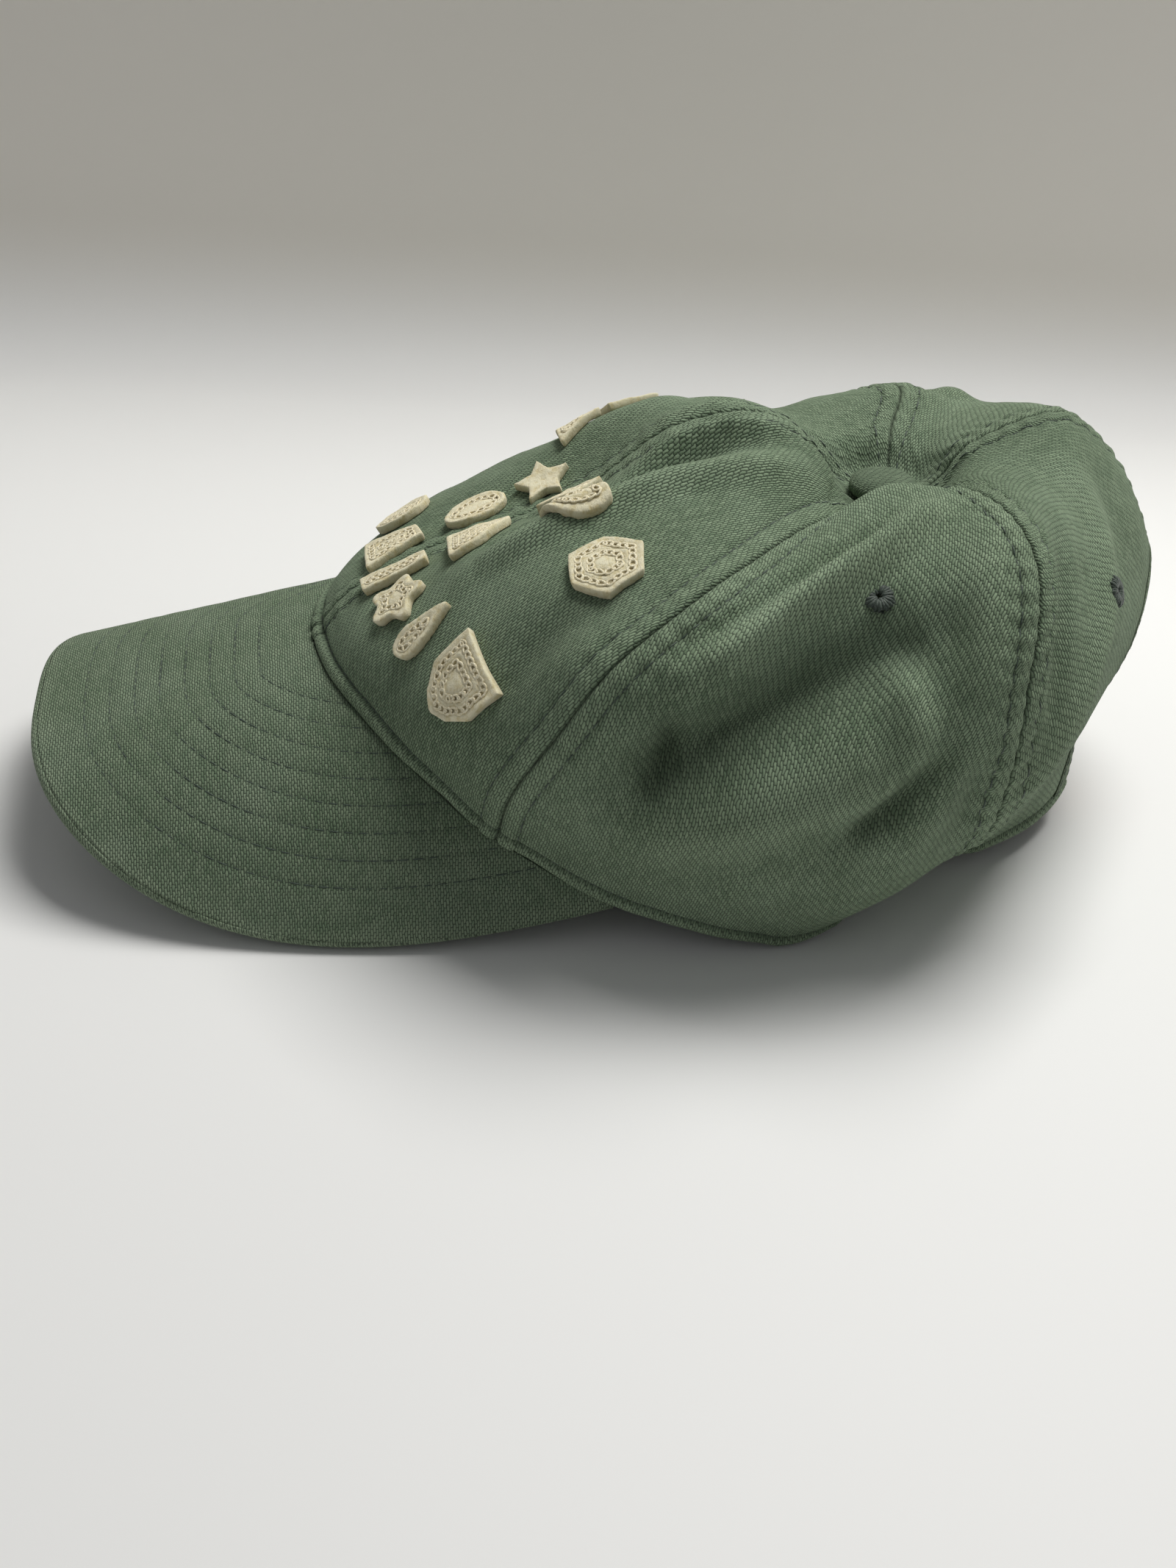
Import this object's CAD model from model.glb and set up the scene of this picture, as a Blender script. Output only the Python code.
"""Baseball cap in washed green canvas, with a curved visor, felt patches and a strap at the back.

Metres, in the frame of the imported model: +Z up, visor towards -Y, wearer's left towards +X.
"""
import math
import bpy
import bmesh
import numpy as np
from mathutils import Matrix, Vector
from mathutils.bvhtree import BVHTree


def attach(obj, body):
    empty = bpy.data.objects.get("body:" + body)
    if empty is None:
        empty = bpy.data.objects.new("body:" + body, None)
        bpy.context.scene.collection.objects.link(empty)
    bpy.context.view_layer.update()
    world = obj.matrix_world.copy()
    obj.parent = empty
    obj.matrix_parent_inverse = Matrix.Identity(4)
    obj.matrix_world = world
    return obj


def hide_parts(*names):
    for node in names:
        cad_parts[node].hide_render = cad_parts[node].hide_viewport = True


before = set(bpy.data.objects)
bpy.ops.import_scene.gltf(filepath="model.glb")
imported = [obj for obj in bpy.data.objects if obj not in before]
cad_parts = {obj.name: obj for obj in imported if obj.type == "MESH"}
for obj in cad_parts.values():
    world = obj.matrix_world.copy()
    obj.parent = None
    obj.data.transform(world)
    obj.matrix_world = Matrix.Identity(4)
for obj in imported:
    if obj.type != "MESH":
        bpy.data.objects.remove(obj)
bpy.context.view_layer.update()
MM = 0.001
SEED = 7
VIEW_AZIMUTH = math.radians(79.8)

# ---------------------------------------------------------------- materials

MATH, MIX, NOISE = "ShaderNodeMath", "ShaderNodeMix", "ShaderNodeTexNoise"
RANGE, MAPPING, BUMP = "ShaderNodeMapRange", "ShaderNodeMapping", "ShaderNodeBump"
SHADER, OUTPUT = "ShaderNodeBsdfPrincipled", "ShaderNodeOutputMaterial"
CANVAS_SHADE = "#65795f"
CANVAS_BODY = "#80947a"
CANVAS_WORN = "#a4b798"
CANVAS_GAP = "#2c382c"


def linear(hex_colour):
    """An sRGB hex colour as linear RGBA."""
    parts = [int(hex_colour[i:i + 2], 16) / 255 for i in (1, 3, 5)]
    return [p / 12.92 if p <= 0.04045 else ((p + 0.055) / 1.055) ** 2.4 for p in parts] + [1.0]


def add(tree, kind, inputs=(), **settings):
    """Adds a node; inputs are values, hex colours, nodes or sockets, in order or by name."""
    node = tree.nodes.new(kind)
    for key, value in settings.items():
        setattr(node, key, value)
    for key, value in inputs.items() if isinstance(inputs, dict) else enumerate(inputs):
        if isinstance(value, str) and value.startswith("#"):
            value = linear(value)
        if isinstance(value, bpy.types.Node):
            value = value.outputs[0]
        if isinstance(value, bpy.types.NodeSocket):
            tree.links.new(value, node.inputs[key])
        else:
            node.inputs[key].default_value = value
    return node


def new_material(name):
    """An empty material, its tree and the coordinates of the piece it is on."""
    material = bpy.data.materials.new(name)
    material.use_nodes = True
    tree = material.node_tree
    tree.nodes.clear()
    return material, tree, add(tree, "ShaderNodeTexCoord").outputs["Object"]


def canvas_material(name, pitch_mm, body=CANVAS_BODY, worn=CANVAS_WORN, float_length=3.0):
    """Washed cotton canvas, piece dyed: matt, with a slanting weave and paler where rubbed.

    The threads are drawn coarser than real ones, so that the weave still shows.
    """
    material, tree, place = new_material(name)
    cloth = add(tree, "ShaderNodeUVMap", uv_map="cloth")
    # threads are not quite straight or even
    wander = add(tree, NOISE, {"Vector": place, "Scale": 420.0, "Detail": 3.0, "Roughness": 0.6})
    counts = []
    for way in add(tree, "ShaderNodeSeparateXYZ", [cloth]).outputs[:2]:
        count = add(tree, MATH, [way, pitch_mm * MM], operation="DIVIDE")
        counts.append(add(tree, MATH, [wander, 1.6, count], operation="MULTIPLY_ADD"))
    column = add(tree, MATH, [counts[0]], operation="FLOOR")
    slanted = add(tree, MATH, [counts[1], column], operation="ADD")
    step = add(tree, MATH, [slanted, float_length], operation="DIVIDE")
    humps = []
    for count, power in ((counts[0], 0.6), (step, 0.45)):
        part = add(tree, MATH, [count], operation="FRACT")
        turn = add(tree, MATH, [part, math.pi], operation="MULTIPLY")
        hump = add(tree, MATH, [turn], operation="SINE")
        humps.append(add(tree, MATH, [hump, power], operation="POWER"))
    thread = add(tree, MATH, humps, operation="MULTIPLY")
    # each float catches the light a little differently
    cell = add(tree, "ShaderNodeCombineXYZ", [column, add(tree, MATH, [step], operation="FLOOR")])
    yarn = add(tree, "ShaderNodeTexWhiteNoise", {"Vector": cell}, noise_dimensions="2D")
    patchy = add(tree, NOISE, {"Vector": place, "Scale": 34.0, "Detail": 4.0, "Roughness": 0.6})
    lumps = add(tree, NOISE, {"Vector": place, "Scale": 900.0, "Detail": 3.0, "Roughness": 0.7})
    wear = add(tree, "ShaderNodeAttribute", attribute_name="wear").outputs["Fac"]
    deep = add(tree, "ShaderNodeAttribute", attribute_name="deep").outputs["Fac"]
    colour = body
    for limits in ((0.35, 0.68), (0.30, 0.72, 0.55, 1.0)):
        part = add(tree, RANGE, [patchy, *limits], interpolation_type="SMOOTHSTEP")
        colour = add(tree, MIX, {0: part, 6: CANVAS_SHADE, 7: colour}, data_type="RGBA").outputs[2]
    gap = add(tree, RANGE, [thread, 0.2, 0.7, 0.8, 0.0], interpolation_type="SMOOTHSTEP")
    for amount, strength, tint in ((wear, 0.85, worn), (yarn, 0.42, worn), (gap, 1.0, CANVAS_GAP),
                                   (deep, 0.75, CANVAS_GAP)):
        part = add(tree, MATH, [amount, strength], operation="MULTIPLY")
        colour = add(tree, MIX, {0: part, 6: colour, 7: tint}, data_type="RGBA").outputs[2]
    height = add(tree, MATH, [lumps, 0.35, thread], operation="MULTIPLY_ADD")
    bump = add(tree, BUMP, {"Height": height, "Distance": 0.26 * MM, "Strength": 1.0})
    add(tree, OUTPUT, [add(tree, SHADER, {
        "Base Color": colour, "Roughness": 0.92, "Specular IOR Level": 0.34, "Normal": bump,
        "Sheen Weight": 0.25, "Sheen Roughness": 0.6, "Sheen Tint": "#aab79c"})])
    return material


def thread_material(name, colour, light):
    """Spun sewing thread: a slight gloss and a fine twist."""
    material, tree, place = new_material(name)
    twist = add(tree, NOISE, {"Vector": place, "Scale": 2600.0, "Detail": 2.0, "Roughness": 0.5})
    part = add(tree, RANGE, [twist, 0.3, 0.7], interpolation_type="SMOOTHSTEP")
    tone = add(tree, MIX, {0: part, 6: colour, 7: light}, data_type="RGBA").outputs[2]
    bump = add(tree, BUMP, {"Height": twist, "Distance": 0.08 * MM, "Strength": 1.0})
    add(tree, OUTPUT, [add(tree, SHADER, {
        "Base Color": tone, "Roughness": 0.6, "Sheen Weight": 0.2, "Normal": bump})])
    return material


def felt_material():
    """Pressed wool felt: cream, matt, lumpy, with stray dark fibres and soiled edges."""
    material, tree, place = new_material("wool_felt")
    lumps = add(tree, NOISE, {"Vector": place, "Scale": 620.0, "Detail": 5.0, "Roughness": 0.65})
    drawn = add(tree, MAPPING, {"Vector": place, "Scale": (1.0, 3.2, 0.7)})
    fibres = add(tree, NOISE, {"Vector": drawn, "Scale": 2400.0, "Detail": 3.0, "Roughness": 0.7})
    soil = add(tree, NOISE, {"Vector": place, "Scale": 120.0, "Detail": 3.0, "Roughness": 0.5})
    deep = add(tree, "ShaderNodeAttribute", attribute_name="deep").outputs["Fac"]
    colour = "#e6d7a4"
    for amount, limits, tint in ((lumps, (0.28, 0.58), "#fff8d8"),
                                 (soil, (0.5, 0.8, 0.0, 0.25), "#b9a982"),
                                 (fibres, (0.66, 0.74, 0.0, 0.55), "#6d6046")):
        part = add(tree, RANGE, [amount, *limits], interpolation_type="SMOOTHSTEP")
        colour = add(tree, MIX, {0: part, 6: colour, 7: tint}, data_type="RGBA").outputs[2]
    part = add(tree, MATH, [deep, 0.5], operation="MULTIPLY")
    colour = add(tree, MIX, {0: part, 6: colour, 7: "#9a8a64"}, data_type="RGBA").outputs[2]
    height = add(tree, MATH, [fibres, 0.5, lumps], operation="MULTIPLY_ADD")
    bump = add(tree, BUMP, {"Height": height, "Distance": 0.4 * MM, "Strength": 1.0})
    add(tree, OUTPUT, [add(tree, SHADER, {
        "Base Color": colour, "Roughness": 0.95, "Specular IOR Level": 0.2, "Normal": bump,
        "Sheen Weight": 0.15, "Sheen Roughness": 0.5})])
    return material


def metal_material(name, colour, dark, rough):
    """Plated metal, rubbed bright on the high places and darkened in the low ones."""
    material, tree, place = new_material(name)
    tarnish = add(tree, NOISE, {"Vector": place, "Scale": 700.0, "Detail": 4.0, "Roughness": 0.6})
    drawn = add(tree, MAPPING, {"Vector": place, "Scale": (1.0, 1.0, 14.0)})
    marks = add(tree, NOISE, {"Vector": drawn, "Scale": 900.0, "Detail": 2.0, "Roughness": 0.5})
    part = add(tree, RANGE, [tarnish, 0.38, 0.66], interpolation_type="SMOOTHSTEP")
    tone = add(tree, MIX, {0: part, 6: dark, 7: colour}, data_type="RGBA").outputs[2]
    dull = add(tree, RANGE, [tarnish, 0.3, 0.7, rough + 0.08, rough],
               interpolation_type="SMOOTHSTEP")
    bump = add(tree, BUMP, {"Height": marks, "Distance": 0.02 * MM, "Strength": 0.5})
    add(tree, OUTPUT, [add(tree, SHADER, {
        "Base Color": tone, "Metallic": 1.0, "Roughness": dull, "Normal": bump})])
    return material


def board_material():
    """Moulded polyethylene sheet, black and slightly waxy."""
    material, tree, place = new_material("moulded_polyethylene")
    grain = add(tree, NOISE, {"Vector": place, "Scale": 1800.0, "Detail": 3.0, "Roughness": 0.5})
    tone = add(tree, MIX, {0: grain, 6: "#1a1b1a", 7: "#262826"}, data_type="RGBA").outputs[2]
    bump = add(tree, BUMP, {"Height": grain, "Distance": 0.03 * MM, "Strength": 1.0})
    add(tree, OUTPUT, [add(tree, SHADER, {"Base Color": tone, "Roughness": 0.55, "Normal": bump})])
    return material


CANVAS = canvas_material("washed_cotton_canvas", 0.60)
VISOR_CANVAS = canvas_material("visor_cotton_canvas", 0.60, body="#768871", worn="#97a58b",
                               float_length=2.4)
TAPE_CLOTH = canvas_material("cotton_tape", 0.5, body="#5b6956")
BAND_CLOTH = canvas_material("sweatband_twill", 0.55, body="#65725e", float_length=4.0)
SEWING_THREAD = thread_material("sewing_thread", "#27352b", "#46574a")
EYELET_THREAD = thread_material("eyelet_thread", "#24302a", "#3d4b3f")
CHAIN_THREAD = thread_material("chain_stitch_thread", "#d8cba4", "#fbf4d8")
LABEL_SATIN = thread_material("label_satin", "#cfcdc2", "#e6e4da")
FELT_CLOTH = felt_material()
BRASS = metal_material("antique_brass", "#ad8f57", "#94784a", 0.36)
STEEL = metal_material("plated_steel", "#b9bab8", "#97999a", 0.28)
BOARD = board_material()

# ---------------------------------------------------------------- meshes


def new_object(name, data):
    thing = bpy.data.objects.new(name, data)
    bpy.context.scene.collection.objects.link(thing)
    return thing


def new_mesh(name, points, faces=()):
    mesh = bpy.data.meshes.new(name)
    mesh.from_pydata([tuple(p) for p in points], [], [tuple(int(i) for i in f) for f in faces])
    return mesh


def plain_mesh(thing):
    """The mesh of an object with its modifiers carried out."""
    depsgraph = bpy.context.evaluated_depsgraph_get()
    return bpy.data.meshes.new_from_object(thing.evaluated_get(depsgraph), depsgraph=depsgraph)


def outward(piece):
    """Turns a closed piece's faces so that they all point out of it."""
    bm = bmesh.new()
    bm.from_mesh(piece.data)
    bmesh.ops.recalc_face_normals(bm, faces=bm.faces)
    bm.to_mesh(piece.data)
    bm.free()
    return piece


def prism(name, loop, deep, scale=MM):
    """A solid from a loop of points, carried along one vector."""
    count = len(loop)
    faces = [tuple(range(count))[::-1], tuple(range(count, 2 * count))]
    faces += [(k, (k + 1) % count, count + (k + 1) % count, count + k) for k in range(count)]
    return outward(new_object(name, new_mesh(name, np.concatenate([loop, loop + deep]) * scale,
                                             faces)))


def make_piece(name, points, faces, material, body="cap", slot="canvas", replaces=(), uv=None,
               smooth=True, **marks):
    """A mesh piece from points in millimetres; marks are numbers kept on its points."""
    mesh = new_mesh(name, np.asarray(points, float) * MM, faces)
    finish_mesh(mesh, material, uv, smooth, marks)
    return settle(new_object(name, mesh), body, replaces)


def finish_mesh(mesh, material, uv, smooth, marks):
    """Gives a mesh its cloth coordinates, its marks and its material."""
    if uv is not None:
        layer = mesh.uv_layers.new(name="cloth")
        corners = np.empty(len(mesh.loops), np.int32)
        mesh.loops.foreach_get("vertex_index", corners)
        layer.data.foreach_set("uv", (np.asarray(uv, np.float32) * MM)[corners].ravel())
    for key, values in marks.items():
        mark = mesh.attributes.new(key, "FLOAT", "POINT")
        mark.data.foreach_set("value", np.asarray(values, np.float32))
    mesh.materials.append(material)
    mesh.polygons.foreach_set("use_smooth", np.full(len(mesh.polygons), smooth))
    mesh.update()


def settle(piece, body, replaces=()):
    """Says which body a piece rides on, what it is made of and which nodes it stands for."""
    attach(piece, body)
    if replaces:
        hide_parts(*replaces)
    return piece


def grid_faces(rows, columns, first=0, flip=False):
    j, i = np.meshgrid(np.arange(rows - 1), np.arange(columns - 1), indexing="ij")
    a = first + j * columns + i
    quads = np.stack([a, a + 1, a + columns + 1, a + columns], -1).reshape(-1, 4)
    return quads[:, ::-1] if flip else quads


def rim_faces(rows, columns, offset):
    """Faces that join the edges of two equal grids, the second starting at offset."""
    loop = list(range(columns))
    loop += [j * columns + columns - 1 for j in range(1, rows)]
    loop += [(rows - 1) * columns + i for i in range(columns - 2, -1, -1)]
    loop += [j * columns for j in range(rows - 2, 0, -1)]
    loop = np.array(loop)
    after = np.roll(loop, -1)
    return np.stack([loop, loop + offset, after + offset, after], -1)


def tube_faces(rings, around):
    """Faces of a tube, closed at both ends, from equal rings of points."""
    faces = []
    for j in range(rings - 1):
        for i in range(around):
            a, b = j * around + i, j * around + (i + 1) % around
            faces.append((a, b, b + around, a + around))
    faces.append(tuple(range(around))[::-1])
    faces.append(tuple(range((rings - 1) * around, rings * around)))
    return faces


def cloth_piece(name, outer, inner, uv, material, wear=None, deep=None, **settings):
    """A closed piece of cloth between two equal grids of points; outer faces outwards."""
    rows, columns = outer.shape[:2]
    count = rows * columns
    points = np.concatenate([outer.reshape(-1, 3), inner.reshape(-1, 3)])
    faces = np.concatenate([
        grid_faces(rows, columns),
        grid_faces(rows, columns, count, flip=True),
        rim_faces(rows, columns, count),
    ])
    both = np.concatenate([uv.reshape(-1, 2)] * 2)
    zero = np.zeros(count)
    marks = {
        "wear": np.concatenate([zero if wear is None else wear.ravel(), zero]),
        "deep": np.concatenate([zero if deep is None else deep.ravel(), zero]),
    }
    return make_piece(name, points, faces, material, uv=both, **settings, **marks)


# ---------------------------------------------------------------- the crown's surface

# Twelve lines run from the rim up to the button, on each seam and down each panel's middle.
CROWN_LINES = np.array([
    [(2, -88, 55), (0, -63, 67), (-2, -36, 76), (-1, -12, 94), (0, 12, 95)],
    [(36, -80, 54), (31, -63, 72), (28, -40, 84), (22, -9, 92), (11, 16, 91)],
    [(69, -58, 40), (75, -50, 58), (73, -37, 75), (59, -15, 84), (34, 10, 84)],
    [(86, 2, 19), (87, 6, 40), (81, 15, 63), (59, 22, 85), (27, 31, 90)],
    [(72, 47, 23), (82, 47, 45), (81, 48, 68), (64, 52, 89), (32, 49, 91)],
    [(44, 79, 28), (46, 84, 48), (43, 83, 70), (31, 71, 90), (15, 57, 88)],
    [(0, 99, 33), (-2, 110, 57), (-2, 100, 79), (0, 81, 95), (0, 60, 89)],
    [(-48, 80, 30), (-58, 86, 51), (-54, 85, 68), (-38, 74, 83), (-19, 57, 84)],
    [(-74, 42, 26), (-81, 44, 47), (-69, 47, 69), (-42, 54, 85), (-20, 46, 83)],
    [(-86, 0, 22), (-83, 2, 42), (-70, 9, 62), (-48, 19, 77), (-22, 29, 82)],
    [(-66, -59, 38), (-63, -49, 53), (-53, -32, 67), (-38, -9, 82), (-20, 14, 87)],
    [(-33, -82, 50), (-27, -66, 63), (-24, -41, 77), (-22, -10, 90), (-11, 16, 91)],
], float)
LINES = 12
TOP = 7.0
STEP = 0.02
BUTTON_Y = 39.0
BUTTON_SEAT = 74.5
HALF_WIDTH, HALF_LENGTH = 77.0, 98.0
BACK_RADIUS = 52.5
BACK_Y = HALF_LENGTH - BACK_RADIUS - 1.0
FRONT_ANGLES = [0.0, 14.5, 28.7, 41.0, 52.4, 71.0, 91.0]
BACK_ANGLES = [-4.0, 16.5, 37.0, 63.0, 90.0]
RIM_HEIGHTS = np.array([0.8, 3.0, 6.0, 9.0, 6.0, 3.0, 0.8])
CORNER_BULGE = 3.0
VISOR_HALF_WIDTH = HALF_WIDTH - 4.5
VISOR_DEPTH = 66.7
VISOR_DROOP = 45.6
VISOR_SLOPE = math.tan(math.radians(12.2))
VISOR_ROUNDING = 2.9
VISOR_POWER = 2.0 / 3.0
VISOR_STACK = 3.5


def curve(a, b, c, d, part):
    """A smooth curve's place between b and c, with its neighbours a and d."""
    return 0.5 * (2 * b + (c - a) * part + (2 * a - 5 * b + 4 * c - d) * part ** 2
                  + (3 * b - a - 3 * c + d) * part ** 3)


def spline(points, place, closed=False):
    """Points at fractional places along smooth curves; the curves' points are axis 0."""
    count = len(points)
    start = np.floor(place).astype(int)
    if not closed:
        start = np.clip(start, 0, count - 2)
    part = np.asarray(place - start)
    part = part.reshape(part.shape + (1,) * (points.ndim - 1))

    def pick(index):
        if closed:
            return points[index % count]
        inner = points[np.clip(index, 0, count - 1)]
        before, after = 2 * points[0] - points[1], 2 * points[-1] - points[-2]
        shape = index.reshape(index.shape + (1,) * (points.ndim - 1))
        return np.where(shape < 0, before, np.where(shape >= count, after, inner))

    return curve(*(pick(start + step) for step in (-1, 0, 1, 2)), part)


def rim_plan():
    """The rim from above at every half line, going round by the wearer's left."""
    front, back = np.radians(FRONT_ANGLES), np.radians(BACK_ANGLES)
    left = np.stack([HALF_WIDTH * np.sin(front), -HALF_LENGTH * np.cos(front)], 1)
    rear = np.stack([BACK_RADIUS * np.cos(back), BACK_Y + BACK_RADIUS * np.sin(back)], 1)
    corner = (left[-1:] + rear[:1]) / 2 + CORNER_BULGE
    half = np.concatenate([left, corner, rear])
    return np.concatenate([half, half[-2:0:-1] * (-1, 1)])


RIM_PLAN = rim_plan()


def rim_xy(line):
    return spline(RIM_PLAN, np.asarray(line, float) * 2.0, closed=True)


def find_visor_end():
    """The line where the visor's outline meets the rim."""
    places = np.linspace(1, 3, 2001)
    return places[np.argmax(rim_xy(places)[:, 0] >= VISOR_HALF_WIDTH - 0.5)]


VISOR_END = find_visor_end()
END_XY = rim_xy(np.array([VISOR_END]))[0]


def visor_outline(way):
    """The visor's edge from above; way runs from -1 on the right to 1 on the left."""
    across, along = np.sin(way * math.pi / 2), np.cos(way * math.pi / 2)
    x = VISOR_HALF_WIDTH * np.sign(across) * np.abs(across) ** VISOR_POWER
    reach = HALF_LENGTH + VISOR_DEPTH + END_XY[1]
    return np.stack([x, END_XY[1] - reach * np.abs(along) ** VISOR_POWER], -1)


def visor_fall(x, y):
    droop = VISOR_DROOP * (np.abs(x) / VISOR_HALF_WIDTH) ** VISOR_ROUNDING
    return droop - (y + HALF_LENGTH) * VISOR_SLOPE


OUTLINE = visor_outline(np.linspace(0, 1, 41))
VISOR_FRONT = visor_fall(OUTLINE[:, 0], OUTLINE[:, 1]).max() + VISOR_STACK * 0.55


def visor_top(x, y):
    return VISOR_FRONT - visor_fall(x, y)


def rim_point(line):
    """The outer lower edge of the crown cloth."""
    line = np.asarray(line, float) % LINES
    xy = rim_xy(line)
    near = np.minimum(line, LINES - line)
    on_visor = visor_top(xy[..., 0], xy[..., 1])
    end = visor_top(END_XY[0], END_XY[1])
    part = np.clip((near - VISOR_END) / (3.0 - VISOR_END), 0, 1)
    hem = end * (1 - part) + RIM_HEIGHTS[0] * part
    back = spline(RIM_HEIGHTS, np.clip(line, 3, 9) - 3.0)
    z = np.where(near <= VISOR_END, on_visor, np.where(near <= 3.0, hem, back))
    return np.concatenate([xy, z[..., None]], -1)


def button_ring(radius):
    angle = np.arange(LINES) * 2 * math.pi / LINES
    return np.stack([radius * np.sin(angle), BUTTON_Y - radius * np.cos(angle),
                     np.full(LINES, BUTTON_SEAT)], 1)


STATIONS = [CROWN_LINES[:, step] for step in range(5)] + [button_ring(7.0), button_ring(3.0)]


def crown(line, height):
    """The crown's outer face before its folds; equal arrays of line and height."""
    line, height = np.broadcast_arrays(np.asarray(line, float), np.asarray(height, float))
    around = [rim_point(line)] + [spline(s, line % LINES, closed=True) for s in STATIONS]
    around = np.stack(around)
    count = len(around)
    start = np.clip(np.floor(height).astype(int), 0, count - 2)
    part = (height - start)[..., None]
    padded = np.concatenate([2 * around[:1] - around[1:2], around, 2 * around[-1:] - around[-2:-1]])
    near = (np.take_along_axis(padded, (start + step)[None, ..., None], 0)[0]
            for step in (0, 1, 2, 3))
    return curve(*near, part)


def unit(vectors):
    return vectors / np.maximum(np.linalg.norm(vectors, axis=-1, keepdims=True), 1e-9)


def walk(points):
    """How far each point of a path lies along it; a grid's paths run along its second axis."""
    steps = np.linalg.norm(np.diff(points, axis=-2), axis=-1)
    return np.concatenate([np.zeros_like(steps[..., :1]), np.cumsum(steps, axis=-1)], -1)


def closed(loop):
    return np.concatenate([loop, loop[:1]])


def crown_normal(line, height, step=0.03):
    around = crown(line + step, height) - crown(line - step, height)
    up = crown(line, np.minimum(height + step, TOP)) - crown(line, np.maximum(height - step, 0.0))
    return unit(np.cross(around, up))


def bell(distance, width):
    return np.exp(-(distance / width) ** 2)


def ease(low, high, value):
    part = np.clip((value - low) / (high - low), 0, 1)
    return part * part * (3 - 2 * part)


def waves(points, length_mm, seed, count=9):
    """Slow uneven ripples through space, from -1 to 1, about this long."""
    random = np.random.default_rng(seed)
    total = np.zeros(points.shape[:-1])
    for _ in range(count):
        direction = unit(random.normal(size=3))
        scale = 2 * math.pi / (length_mm * random.uniform(0.7, 1.5))
        total = total + np.sin(points @ direction * scale + random.uniform(0, 2 * math.pi))
    return total / math.sqrt(count) / 1.4


def along_path(points, path):
    """Distance from each point to a path, and how far along the path its nearest place is."""
    best = np.full(points.shape[:-1], 1e9)
    place = np.zeros(points.shape[:-1])
    for index in range(len(path) - 1):
        a, b = path[index], path[index + 1]
        run = b - a
        part = np.clip(((points - a) @ run) / max(run @ run, 1e-9), 0, 1)
        distance = np.linalg.norm(points - (a + part[..., None] * run), axis=-1)
        closer = distance < best
        best = np.where(closer, distance, best)
        place = np.where(closer, (index + part) / (len(path) - 1), place)
    return best, place


def distance_to(points, path):
    return along_path(points, path)[0]


# Folds of the slack cloth: places as (line, height), then half width and rise in millimetres,
# where a negative rise is a valley.
FOLDS = [
    # the left side panel: a pinched valley by the seam, a ridge, and a broad hollow below
    ([(3.0, 4.5), (2.6, 4.2), (2.4, 3.9), (2.2, 3.4)], 2.8, -4.6),
    ([(3.5, 4.7), (2.9, 4.2), (2.5, 3.8), (2.3, 3.1)], 4.6, 6.4),
    ([(3.3, 3.6), (2.8, 3.3), (2.5, 2.6), (2.3, 1.9)], 7.5, -9.0),
    ([(2.3, 2.8), (2.4, 2.3), (2.4, 1.7)], 3.0, -4.4),
    ([(2.4, 1.2), (2.8, 2.2), (3.2, 2.8)], 8.0, 4.2),
    ([(3.5, 2.8), (3.3, 2.2), (3.1, 1.9)], 3.6, -5.0),
    ([(3.0, 3.5), (3.2, 3.1), (3.3, 2.6)], 4.5, 3.0),
    ([(3.8, 4.6), (3.6, 3.8), (3.6, 3.0)], 5.5, 2.4),
    ([(3.7, 2.6), (3.8, 2.0), (3.7, 1.4)], 5.0, -2.2),
    # the hem tucks under where the side turns to the back
    ([(3.3, 0.0), (3.8, 0.1), (4.2, 0.1)], 8.0, -3.4),
    # slack gathered along the front seam
    ([(1.2, 4.9), (1.0, 3.9), (1.0, 2.7), (0.9, 2.0)], 4.5, 4.0),
    ([(0.8, 4.7), (0.6, 4.0), (0.7, 3.2), (0.7, 2.3)], 3.4, -4.4),
    ([(0.5, 4.9), (0.3, 4.2), (0.4, 3.5)], 2.0, 2.2),
    ([(0.3, 4.8), (0.2, 4.4), (0.2, 3.9)], 1.8, -1.2),
    ([(11.7, 4.7), (11.8, 4.2), (11.8, 3.7)], 2.6, 1.6),
    ([(1.7, 3.4), (1.6, 2.5), (1.7, 1.6)], 6.5, -2.6),
    # the valley round the button
    ([(2.4, 5.6), (3.1, 5.3), (3.9, 5.3)], 2.4, -1.4),
    ([(2.6, 5.0), (3.2, 4.9), (3.7, 5.0)], 3.6, 0.5),
    ([(1.0, 5.6), (1.5, 5.4), (2.0, 5.5)], 2.2, -1.2),
    # the left back panel
    ([(5.3, 4.0), (4.7, 3.1), (4.3, 2.2), (4.1, 1.5)], 5.5, 3.6),
    ([(4.5, 4.2), (4.3, 3.4), (4.2, 2.5)], 3.4, -2.6),
    # the right side, slack in the same way
    ([(9.1, 4.4), (9.5, 3.9), (9.7, 3.2)], 5.5, 3.6),
    ([(8.7, 3.6), (9.2, 3.0), (9.5, 2.5), (9.6, 2.0)], 7.5, -5.5),
    ([(8.6, 2.6), (8.9, 2.2), (9.2, 1.9)], 7.0, 3.4),
    ([(8.4, 2.9), (8.6, 2.4), (8.8, 2.0)], 3.8, -3.4),
    ([(7.4, 4.3), (7.3, 3.6), (7.5, 2.6)], 5.5, 2.8),
    ([(7.7, 4.1), (7.7, 3.5), (7.7, 2.9)], 3.6, -2.4),
    ([(11.0, 4.2), (11.1, 3.7), (10.9, 3.2)], 6.0, 2.2),
    ([(10.6, 3.2), (10.5, 2.6), (10.4, 2.0)], 5.0, -2.2),
]


def fold_relief(points):
    """How far the folds lift the cloth."""
    lift = np.zeros(points.shape[:-1])
    for places, width, rise in FOLDS:
        places = np.array(places, float)
        fine = spline(places, np.linspace(0, len(places) - 1, 5 * len(places)))
        path = crown(fine[:, 0], fine[:, 1])
        distance, part = along_path(points, path)
        ends = np.sin(np.clip(part, 0.03, 0.97) * math.pi) ** 0.6
        lift += rise * bell(distance, width) * ends
    return lift


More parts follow.
